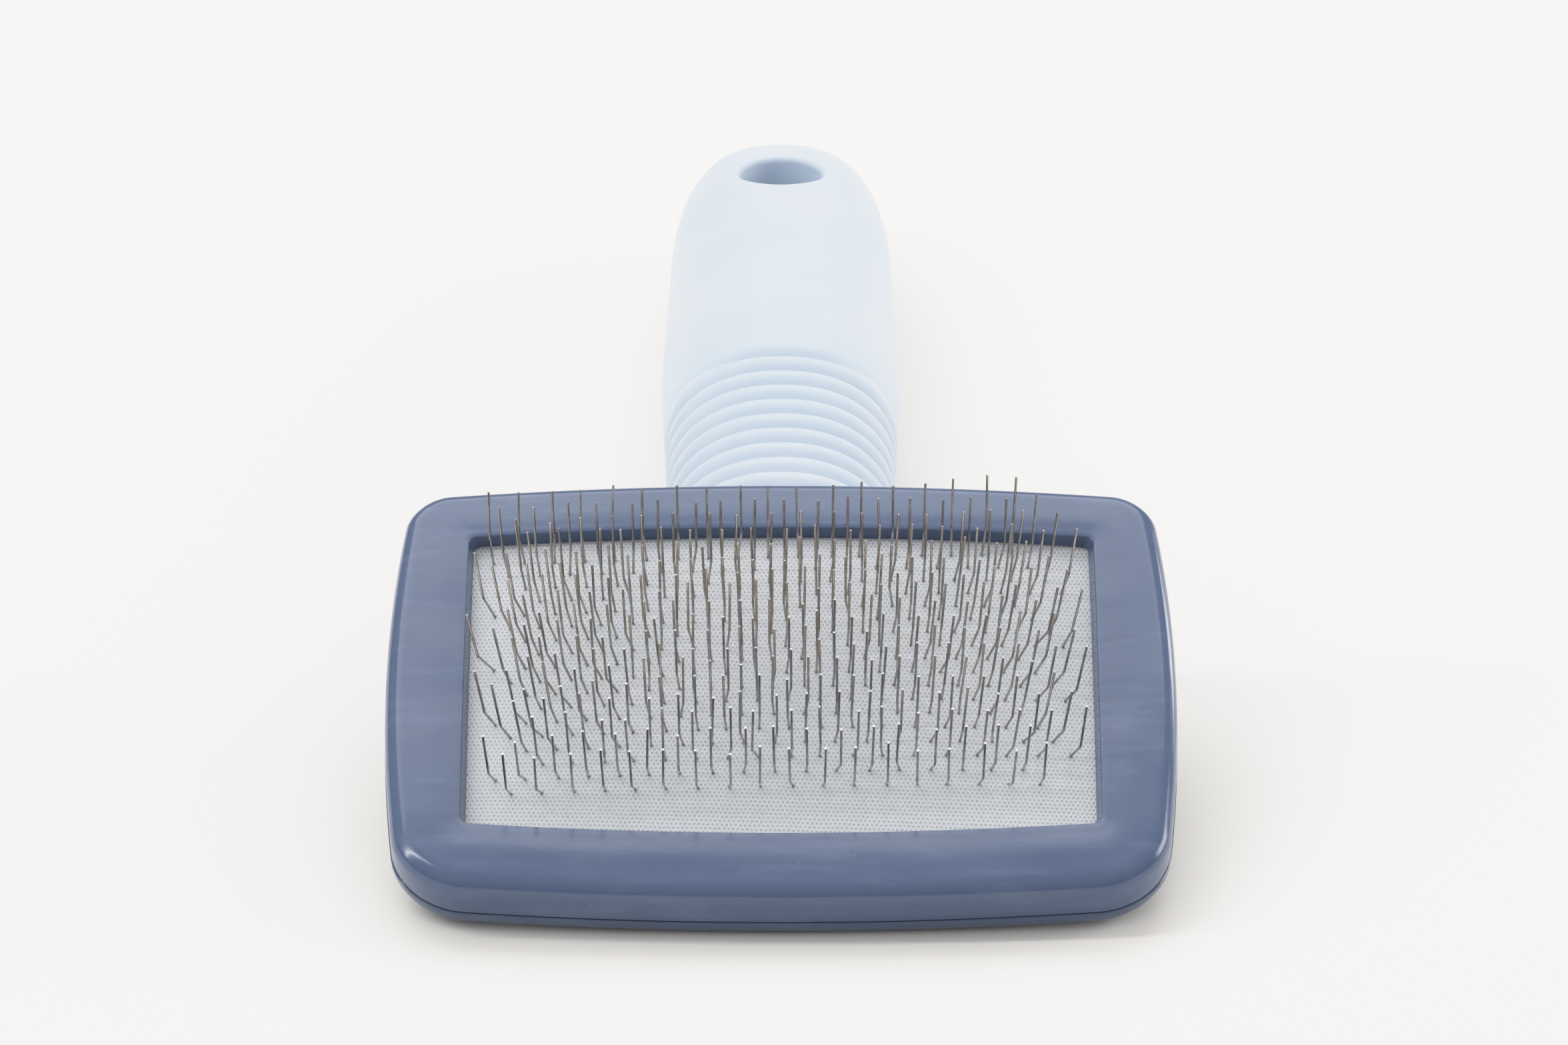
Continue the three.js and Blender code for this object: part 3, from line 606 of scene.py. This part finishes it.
def neck():
    """Joins the tray to the handle's core: square under the shell and round below."""
    rings = []
    for step in range(NECK_STEPS + 1):
        y = NECK_STOPS[-1][0] * step / NECK_STEPS
        half_width, bottom = through(NECK_STOPS, y)
        top = back_height(y) + NECK_SINK
        below = (top - bottom) * NECK_WIDEST
        x, z = superellipse(NECK_POINTS, half_width, top - bottom - below, below, *NECK_POWERS)
        rings.append(upright(np.stack([x, np.full(len(x), y), z + bottom + below], 1)))
    return skin("neck", rings)


def core(grow):
    """The handle's core, with an eye round the hang hole. Grow makes its cavity in the grip."""
    rings = []
    for y in (-CORE_ROOT, HOLE_PLACE - EYE_BORE):
        half = TANG_HALF_HEIGHT + grow
        x, z = superellipse(CORE_POINTS, TANG_HALF_WIDTH + grow, half, half, TANG_POWER)
        rings.append(on_handle(np.stack([x, np.full(len(x), y), z], 1)))
    half = EYE_HALF_HEIGHT + grow
    eye = skin("eye", rod_rings(HOLE_PLACE, EYE_OUTER + grow, half))
    bore = skin("bore", rod_rings(HOLE_PLACE, EYE_BORE - grow, 4 * half))
    return cut(cut(skin("core", rings), eye, "UNION"), bore)


def back_shell():
    piece = cut(cut(tray(), neck(), "UNION"), core(0), "UNION")
    shade(piece, 35)
    return piece


def bead_sink(place):
    """How far the surface sinks below the smooth body, for the ribbed stretch."""
    ribbed = BEADS * BEAD_PITCH
    if place >= ribbed:
        left = min(max(1 - (place - ribbed) / BEAD_RUN, 0), 1)
        return BEAD_DEPTH * left**2
    phase = place / BEAD_PITCH % 1
    return BEAD_DEPTH * abs(2 * phase - 1) ** BEAD_POWER


def ease(value):
    value = np.clip(value, 0, 1)
    return value * value * (3 - 2 * value)


def top_power(place):
    """The upper side is round where it is held and flatter round the hang hole."""
    share = float(ease((place - FLATTER_FROM) / FLATTER_OVER))
    return GRIP_POWER + (HOLE_POWER - GRIP_POWER) * share


def grip_ring(place, cap=1.0, inset=0.0):
    half_width, above, below = through(GRIP_STOPS, place)
    section = superellipse(GRIP_POINTS, half_width, above, below, top_power(place), GRIP_POWER)
    sink = np.full(GRIP_POINTS, bead_sink(place) + inset)
    if place > LAST_GROOVE:
        beside = np.abs(section[0]) / half_width
        sink *= 1 - RUN_OUT * ease((beside - RUN_OUT_START) / RUN_OUT_WIDTH)
    far = np.hypot(*section)
    x, z = [axis * cap * (1 - sink / far) for axis in section]
    return np.stack([x, np.full(len(x), place), z], 1)


def grip_places():
    """Places of the grip's rings, closest together in the grooves."""
    spread = [(1 - math.cos(math.pi * k / BEAD_STEPS)) / 2 for k in range(BEAD_STEPS)]
    places = [(bead + share) * BEAD_PITCH for bead in range(BEADS) for share in spread]
    places.append(BEADS * BEAD_PITCH)
    ribbed = places[-1]
    places += [ribbed + BEAD_RUN * k / RUN_STEPS for k in range(1, RUN_STEPS + 1)]
    start = places[-1]
    places += [start + (CAP_START - start) * k / SMOOTH_STEPS for k in range(1, SMOOTH_STEPS + 1)]
    return places


def grip_profile(y):
    """Half width, height above and depth below the axis, at a place in the rounded end."""
    half_width, above, below = through(GRIP_STOPS, y)
    along = max(y - CAP_START, 0) / (GRIP_LENGTH - CAP_START)
    cap = (1 - along**CAP_POWER) ** (1 / CAP_POWER)
    return half_width * cap, above * cap, below * cap


def grip_level(x, y, side):
    """How far above the axis (side 1) or below it (side -1) the grip's surface lies at a place."""
    half_width, above, below = grip_profile(y)
    share = min(abs(x) / half_width, 1)
    power = top_power(y) if side > 0 else GRIP_POWER
    return (above if side > 0 else below) * (1 - share**power) ** (1 / power)


def hole_rings(side, point_count=96, steps=8):
    """Half of the hole cutter, from its waist to beyond the grip's surface."""
    rings = []
    for step in range(steps + 1):
        angle = RIM_SWEEP * step / steps
        radius = HOLE_RADIUS + HOLE_RIM * (1 - math.cos(angle))
        ring = []
        for k in range(point_count):
            turn = 2 * math.pi * k / point_count
            x, y = radius * math.cos(turn), HOLE_PLACE + radius * math.sin(turn)
            level = grip_level(x, y, side) - HOLE_RIM * (1 - math.sin(angle))
            ring.append((x, y, side * level))
        rings.append(ring)
    flare = [
        (x * HOLE_FLARE, HOLE_PLACE + (y - HOLE_PLACE) * HOLE_FLARE, z + side * HOLE_BEYOND)
        for x, y, z in rings[-1]
    ]
    return rings + [flare]


def hole_cutter():
    """A bobbin whose ends flare out to meet the grip's surface, so that the hole's rims are soft."""
    rings = hole_rings(-1)[::-1] + hole_rings(1)
    return skin("bobbin", [on_handle(ring) for ring in rings])


def head_room():
    """The room that the head needs in the grip's front end."""
    rings = [head_ring(HEAD_OUTLINE, -SHELL_PROUD - GAP, -ROOM_ABOVE), *shell_rings(GAP)]
    return skin("head_room", [on_head(ring) for ring in rings])


def grip():
    """The ribbed soft cover of the handle, rolled over at its front end and round its hang hole."""
    rings = []
    for inset, depth in reversed(list(arc(FRONT_ROUND, 4, 0, 90))):
        ring = grip_ring(0, inset=inset)
        ring[:, 1] = depth
        rings.append(ring)
    rings = rings[:-1]
    rings += [grip_ring(place) for place in grip_places() if place > FRONT_ROUND]
    for step in range(1, CAP_STEPS):
        angle = step / CAP_STEPS * math.pi / 2
        along = math.sin(angle) ** (2 / CAP_POWER)
        place = CAP_START + (GRIP_LENGTH - CAP_START) * along
        rings.append(grip_ring(place, math.cos(angle) ** (2 / CAP_POWER)))
    piece = skin("soft_grip", [on_handle(ring) for ring in rings])
    for cutter in (core(GAP), hole_cutter(), head_room()):
        cut(piece, cutter)
    shade(piece, 40)
    return piece


# ------------------------------------------------------------------ pin pad


def crown(x, y):
    """How far the pad swells above its edge, at a place from the pad's middle."""
    across = np.clip(1 - (x / CROWN_REACH_X) ** 2, 0, None)
    along = np.clip(1 - (y / CROWN_REACH_Y) ** 2, 0, None)
    return PAD_CROWN * across * along


def dimples(x, y):
    """The small dents that the wires pull into the cloth."""
    made = np.zeros_like(x)
    c, s = math.cos(FIELD_TURN), math.sin(FIELD_TURN)
    across = c * (x - FIELD_X) + s * (y - FIELD_Y)
    back = c * (y - FIELD_Y) - s * (x - FIELD_X)
    last = (PINS_PER_ROW - 1) / 2
    for row in range(ROWS):
        beside = across - row_shift(row)
        column = np.clip(np.round(beside / PIN_PITCH - 0.5) + 0.5, -last, last)
        far = np.hypot(beside - column * PIN_PITCH, back - row_place(row))
        made = np.maximum(made, DIMPLE_DEPTH * np.exp(-(far / DIMPLE_RADIUS) ** 2))
    return made


def outer_edge(columns, lines):
    """Indices round the edge of a grid of points."""
    edge = list(range(columns - 1))
    edge += [j * columns + columns - 1 for j in range(lines - 1)]
    edge += [(lines - 1) * columns + i for i in range(columns - 1, 0, -1)]
    edge += [j * columns for j in range(lines - 1, 0, -1)]
    return edge


def ripples(x, y):
    """An even softness of the surface, between about -1 and 1."""
    places = zip(x.ravel() * RIPPLE_ACROSS, y.ravel() * RIPPLE_ALONG)
    waves = [noise.noise(Vector((a, b, RIPPLE_PHASE))) for a, b in places]
    return np.array(waves).reshape(x.shape)


def plate(name, top, bottom, crowned_bottom, grid, ripple=0.0):
    """A closed plate that follows the crown, with a soft ripple where the cloth is pulled."""
    columns, lines = grid
    xs = np.linspace(-PAD_HALF_X, PAD_HALF_X, columns)
    ys = np.linspace(-PAD_HALF_Y, PAD_HALF_Y, lines)
    x, y = np.meshgrid(xs, ys)
    raised = crown(x, y)
    if ripple > 0:
        raised = raised + ripple * ripples(x, y) - dimples(x, y)
    levels = [raised - top, (raised if crowned_bottom else 0 * raised) - bottom]
    points = [np.stack([x, y + OPENING_SHIFT, z], -1).reshape(-1, 3) for z in levels]
    count = columns * lines
    faces = []
    for j in range(lines - 1):
        for i in range(columns - 1):
            a = j * columns + i
            quad = (a, a + 1, a + columns + 1, a + columns)
            faces.append(quad)
            faces.append(tuple(count + k for k in reversed(quad)))
    edge = outer_edge(columns, lines)
    for a, b in zip(edge, edge[1:] + edge[:1]):
        faces.append((a, count + a, count + b, b))
    return add_mesh(name, on_head(np.concatenate(points)), faces, 50)


def foam_pad():
    """The foam under the rubber: a block with rolled edges that is fullest in its middle."""
    bottom = SHELL_BACK - SHELL_FLOOR - GAP
    middle, half = (FOAM_TOP + bottom) / 2, (bottom - FOAM_TOP) / 2
    pad = dict(half_x=PAD_HALF_X, half_y=PAD_HALF_Y, front=FOAM_CORNER, back=FOAM_CORNER, bow_x=0, bow_y=0)
    rings = []
    for step in range(FOAM_STEPS + 1):
        angle = math.pi * step / FOAM_STEPS - math.pi / 2
        inset = half * (1 - math.cos(angle)) ** FOAM_POWER
        rings.append(head_ring(pad, inset, middle - half * math.sin(angle), OPENING_SHIFT))
    return skin("foam_pad", [on_head(ring) for ring in rings], smooth_angle=60)


def row_place(row):
    """How far a row lies behind the middle of the pin field."""
    return (row - (ROWS - 1) / 2) * ROW_PITCH


def row_shift(row):
    """How far a row lies to the side: rows alternate, and so do pairs of rows."""
    stagger = -ROW_STAGGER if row % 2 else ROW_STAGGER
    pair_stagger = -PAIR_STAGGER if row % 4 < 2 else PAIR_STAGGER
    return (stagger + pair_stagger) * PIN_PITCH


def field_point(across, back):
    """A place in the slightly turned pin field, in the head's frame."""
    c, s = math.cos(FIELD_TURN), math.sin(FIELD_TURN)
    return FIELD_X + c * across - s * back, FIELD_Y + OPENING_SHIFT + s * across + c * back


def heading(lean, splay):
    """A direction by its angles in degrees from the head's normal, backward and sideways."""
    tilt, side = math.radians(lean), math.radians(splay)
    across = math.sin(side)
    return np.array([across, math.sin(tilt) * math.cos(side), math.cos(tilt) * math.cos(side)])


def pin_line(row, pin, place, dice):
    """A pin's centreline from its root under the cloth to its tip."""
    along = row / ((ROWS - 1) / 2) - 1
    across = place / SPLAY_REACH
    x, y = field_point(place, row_place(row))
    lean = LEAN_MIDDLE + LEAN_LINEAR * along + LEAN_CUBIC * along**3
    splay = SPLAY_END * math.copysign(abs(across) ** SPLAY_POWER, across) * (1 - SPLAY_FADE * along**2)
    bend = KNEE_BEND + dice.gauss(0, BEND_SCATTER)
    upper_splay = UPPER_SPLAY * splay + dice.gauss(0, UPPER_SCATTER)
    lean += dice.gauss(0, LEAN_SCATTER)
    splay += dice.gauss(0, SPLAY_SCATTER) - LEG_SPLAY * (1 if pin % 2 else -1)
    lower_length = LOWER_LENGTH + dice.gauss(0, LENGTH_SCATTER)
    upper_length = UPPER_LENGTH + dice.gauss(0, LENGTH_SCATTER)
    if (row, pin) in STRAIGHTENED:
        lean, bend = STRAIGHTENED[(row, pin)], STRAIGHT_BEND
        upper_length += STRAIGHT_EXTRA
    root = np.array([x, y, -CROWN_TOP - WIRE_RADIUS])
    foot = np.array([x, y, float(crown(x, y - OPENING_SHIFT)) - CLOTH_TOP])
    knee = foot + lower_length * heading(lean, splay)
    tip = knee + upper_length * heading(lean + bend, upper_splay)
    return [root, foot, knee, tip]


def rounded(points):
    """The same line with its corners turned into short bends."""
    made = [points[0]]
    for before, corner, after in zip(points, points[1:], points[2:]):
        back, on = before - corner, after - corner
        reach_back = min(KNEE_RADIUS, np.linalg.norm(back) / KNEE_PART)
        reach_on = min(KNEE_RADIUS, np.linalg.norm(on) / KNEE_PART)
        a = corner + back / np.linalg.norm(back) * reach_back
        b = corner + on / np.linalg.norm(on) * reach_on
        for step in range(KNEE_STEPS + 1):
            t = step / KNEE_STEPS
            made.append(a * (1 - t) ** 2 + 2 * corner * t * (1 - t) + b * t**2)
    made.append(points[-1])
    return made


def wire_mesh(line):
    """A round wire along a line, with a small burr at each cut end.

    Gives its points, its faces and which points lie on a cut end, where the steel gets its partly painted
    highlight.
    """
    line = np.array(line)
    ends = [line[1] - line[0], line[-2] - line[-1]]
    ends = [BURR_LENGTH * e / np.linalg.norm(e) for e in ends]
    path = np.array([line[0], line[0] + ends[0], *line[1:-1], line[-1] + ends[1], line[-1]])
    radii = [WIRE_RADIUS * BURR_SWELL] + [WIRE_RADIUS] * (len(path) - 2) + [WIRE_RADIUS * BURR_SWELL]
    steps = np.diff(path, axis=0)
    steps /= np.linalg.norm(steps, axis=1)[:, None]
    across = np.cross(steps[0], [0.3, 1, 0.2])
    rings = []
    for k, point in enumerate(path):
        toward = steps[max(k - 1, 0)] + steps[min(k, len(steps) - 1)]
        toward /= np.linalg.norm(toward)
        across = across - toward * (across @ toward)
        across /= np.linalg.norm(across)
        side = np.cross(toward, across)
        turn = np.arange(WIRE_SIDES) / WIRE_SIDES * 2 * math.pi
        spokes = np.outer(np.cos(turn), across) + np.outer(np.sin(turn), side)
        rings.append(point + radii[k] * spokes)
    bright = np.zeros((len(rings), WIRE_SIDES))
    bright[[0, -1]] = 1
    return np.concatenate(rings), skin_faces(len(rings), WIRE_SIDES), bright.ravel()


def pin_row(row, dice, feet):
    """A row's staples, each one wire with two pins, joined into one piece."""
    start = row_shift(row) - (PINS_PER_ROW - 1) / 2 * PIN_PITCH
    points, faces, tips, count = [], [], [], 0
    for staple in range(PINS_PER_ROW // 2):
        legs = []
        for pin in (2 * staple, 2 * staple + 1):
            place = start + pin * PIN_PITCH + dice.gauss(0, PLACE_SCATTER)
            line = pin_line(row, pin, place, dice)
            legs.append(line)
            feet.append((line[1], line[2] - line[1]))
        co, sides, bright = wire_mesh(rounded(legs[0][::-1] + legs[1]))
        points.append(co)
        tips.append(bright)
        faces += [tuple(count + i for i in face) for face in sides]
        count += len(co)
    piece = add_mesh(f"pins_{row + 1:02d}", on_head(np.concatenate(points)), faces, 50)
    cut_ends = piece.data.attributes.new("cut_end", "FLOAT", "POINT")
    cut_ends.data.foreach_set("value", np.concatenate(tips))
    face_out(piece)
    return piece


def punctures(feet):
    """A low, ragged collar of cloth round each wire, given the wires' feet and headings."""
    dice = random.Random(COLLAR_SEED)
    sides = COLLAR_SIDES
    points, faces, count = [], [], 0
    for foot, toward in feet:
        base = foot + np.array([0, 0, -COLLAR_SINK])
        lean = toward / np.linalg.norm(toward) * COLLAR_HEIGHT
        for radius, lift in COLLARS:
            for i in range(sides):
                angle = i / sides * 2 * math.pi
                ragged = radius * (1 + dice.uniform(-COLLAR_RAGGED, COLLAR_RAGGED))
                spoke = [ragged * math.cos(angle), ragged * math.sin(angle), 0]
                points.append(base + lean * lift + spoke)
        for ring in range(len(COLLARS) - 1):
            for i in range(sides):
                a, b = count + ring * sides + i, count + ring * sides + (i + 1) % sides
                faces.append((a, b, b + sides, a + sides))
        faces.append(tuple(count + i for i in reversed(range(sides))))
        faces.append(tuple(count + 2 * sides + i for i in range(sides)))
        count += 3 * sides
    return add_mesh("wire_holes", on_head(points), faces, 60)


# ------------------------------------------------------------------ putting it together


def dress(piece, material, body, slot, *nodes):
    piece.data.materials.clear()
    piece.data.materials.append(material)
    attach(piece, body)
    if nodes:
        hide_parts(*nodes)
    return piece


def build_housing():
    bezel_look = moulded_plastic("bezel_plastic", tone(75, 91, 122), tone(84, 99, 129), tone(190, 196, 206))
    shell_look = moulded_plastic("shell_plastic", tone(74, 88, 114), tone(80, 94, 118), tone(175, 181, 191))
    dress(bezel(), bezel_look, "housing", "bezel_plastic", "bezel")
    dress(back_shell(), shell_look, "housing", "shell_plastic", "back_shell")
    dress(grip(), grip_rubber(), "housing", "grip_rubber", "grip")
    cushion = dress(foam_pad(), foam(), "housing", "foam", "foam_cushion")
    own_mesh(cushion)


def build_pad():
    cloth = plate("cloth_face", CLOTH_TOP, CLOTH_TOP + CLOTH_THICKNESS, True, CLOTH_GRID, RIPPLE)
    dress(cloth, woven_cloth(), "pin_pad", "cloth", "face_cloth")
    backing = plate("rubber_backing", RUBBER_TOP, RUBBER_BOTTOM, False, RUBBER_GRID)
    dress(backing, ply_rubber(), "pin_pad", "ply_rubber", "rubber_ply")
    dice = random.Random(PIN_SEED)
    wire = steel_wire()
    feet = []
    for row in range(ROWS):
        dress(pin_row(row, dice, feet), wire, "pin_pad", "wire", f"pin_row_{row + 1:02d}")
    # the collars round the wires carry the painted shade of their holes
    dress(punctures(feet), puncture_shade(), "pin_pad", "cloth")


# ------------------------------------------------------------------ camera, floor and light

CAMERA_DISTANCE, CAMERA_ELEVATION, AXIS_LIFT = 1.09, math.radians(30), math.radians(1.083)
CAMERA_LENS, CAMERA_SENSOR = 194.4, 36
HEAD_OFFSET = 5 / 2352  # the head's middle sits this share of the width left of the picture's


def build_camera():
    camera = bpy.data.objects.new("camera", bpy.data.cameras.new("camera"))
    bpy.context.scene.collection.objects.link(camera)
    back = Vector((0, -math.cos(CAMERA_ELEVATION), math.sin(CAMERA_ELEVATION)))
    camera.location = HEAD + back * CAMERA_DISTANCE
    yaw = math.atan(HEAD_OFFSET * CAMERA_SENSOR / CAMERA_LENS)
    camera.rotation_euler = (math.pi / 2 - CAMERA_ELEVATION + AXIS_LIFT, 0, -yaw)
    camera.data.lens = CAMERA_LENS
    camera.data.sensor_width = CAMERA_SENSOR
    camera.data.clip_start = 0.05
    bpy.context.scene.camera = camera


FLOOR_HALF = 4  # metres


def build_floor():
    size = FLOOR_HALF
    corners = [(-size, -size, 0), (size, -size, 0), (size, size, 0), (-size, size, 0)]
    floor = add_mesh("floor", corners, [(0, 1, 2, 3)])
    floor.data.materials.append(pale_floor())


def add_light(name, place, aim, size, power, color):
    data = bpy.data.lights.new(name, "AREA")
    data.shape = "RECTANGLE"
    data.size, data.size_y = size
    data.energy = power
    data.color = color
    light = bpy.data.objects.new(name, data)
    bpy.context.scene.collection.objects.link(light)
    light.location = HEAD + Vector(place)
    light.rotation_euler = (Vector(aim) - Vector(place)).to_track_quat("-Z", "Y").to_euler()


WORLD_DARK, WORLD_BRIGHT = 0.28, 0.85
WORLD_RISE = (-0.1, 0.9)  # the brightening starts and ends at these heights on a unit sphere
WORLD_UP, WORLD_COLOR = (-0.1, -0.05, 0.99), (0.985, 0.99, 1.0, 1)


def build_world():
    """A pale room that is dim near the horizon and brightens upwards."""
    world = bpy.data.worlds.new("room")
    world.use_nodes = True
    tree = world.node_tree
    background = tree.nodes["Background"]
    background.inputs["Color"].default_value = WORLD_COLOR
    where = tree.nodes.new("ShaderNodeTexCoord")
    toward = tree.nodes.new("ShaderNodeVectorMath")
    toward.operation = "DOT_PRODUCT"
    toward.inputs[1].default_value = WORLD_UP
    rise = tree.nodes.new("ShaderNodeMapRange")
    rise.interpolation_type = "SMOOTHSTEP"
    for i, number in enumerate((*WORLD_RISE, WORLD_DARK, WORLD_BRIGHT)):
        rise.inputs[i + 1].default_value = number
    tree.links.new(where.outputs["Generated"], toward.inputs[0])
    tree.links.new(toward.outputs["Value"], rise.inputs[0])
    tree.links.new(rise.outputs[0], background.inputs["Strength"])
    bpy.context.scene.world = world


LIGHTS = [
    # name, place and aim from the head's middle in metres, size, power, colour
    ("top", (-0.15, 1.02, 1.35), (0, 0, 0), (1.9, 1.15), 15.5, (0.98, 0.99, 1.0)),
    ("left_strip", (-0.95, -0.1, 1.05), (0, 0, 0), (0.1, 1.3), 3.9, (1, 1, 1)),
    ("left_strip_low", (-1.12, -0.12, 0.86), (0, 0, 0), (0.09, 1.3), 3.4, (1, 1, 1)),
    ("right_fill", (1.25, 0.25, 0.42), (0, 0.05, 0), (0.7, 0.5), 6.5, (1.0, 0.985, 0.975)),
    ("right_strip", (1.0, 0.85, 0.22), (0, 0, 0), (0.12, 0.4), 1.4, (1, 1, 1)),
]
BRIGHTEST = 3
SHOULDER = [(0.3, 0.3), (0.55, 0.55), (0.7, 0.68), (0.85, 0.785), (1.0, 0.85), (1.25, 0.91), (1.6, 0.95)]


def shoulder(mapping):
    """Rolls the brightest tones off softly, as a print of a pale scene does."""
    mapping.white_level = (BRIGHTEST, BRIGHTEST, BRIGHTEST)
    for x, y in SHOULDER:
        mapping.curves[3].points.new(x / BRIGHTEST, y)
    mapping.update()


def build_light():
    build_world()
    for light in LIGHTS:
        add_light(*light)
    view = bpy.context.scene.view_settings
    view.view_transform = "Standard"
    view.use_curve_mapping = True
    shoulder(view.curve_mapping)


build_camera()
build_floor()
build_light()
build_housing()
build_pad()
